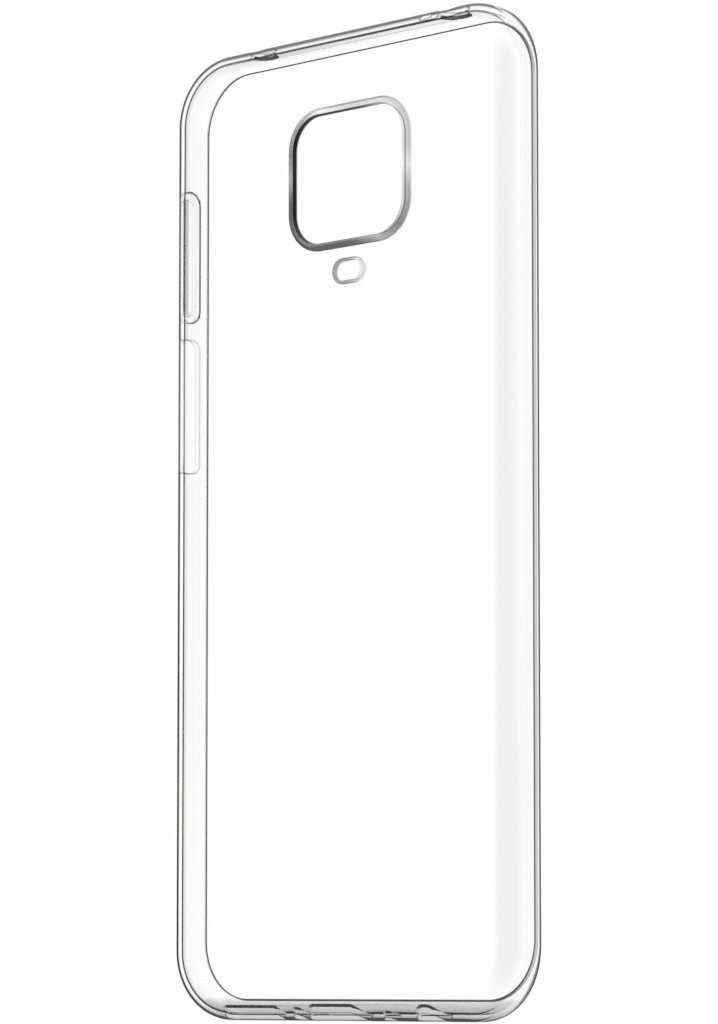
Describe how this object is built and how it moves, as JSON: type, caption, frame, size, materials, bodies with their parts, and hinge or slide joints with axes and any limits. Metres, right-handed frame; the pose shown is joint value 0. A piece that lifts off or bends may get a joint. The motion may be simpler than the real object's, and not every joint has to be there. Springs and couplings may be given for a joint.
{
  "type": "phone case",
  "caption": "Clear flexible case that snaps round a phone, with a raised camera window guard, port cutouts, an open power-key cutout and a volume pad that presses in.",
  "frame": {"origin": "middle of the back panel's inner face, where the phone's back rests", "axes": "+Z along the case's length towards the camera end, +Y from the back towards the phone's screen, +X to the right as seen from behind"},
  "size_m": [0.0792, 0.009, 0.1678],
  "materials": {
    "clear_plastic": "clear gloss"
  },
  "bodies": {
    "case": {"back_panel": "clear_plastic", "side_frame": "clear_plastic", "front_lip": "clear_plastic", "camera_rim": "clear_plastic", "flash_rim": "clear_plastic", "volume_web": "clear_plastic"},
    "volume_pad": {"volume_button": "clear_plastic"}
  },
  "joints": [
    {"name": "volume_press", "type": "slide", "parent": "case", "child": "volume_pad", "axis": [1, 0, 0], "range_m": [0, 0.0004], "stiffness_N_per_m": 2500}
  ]
}
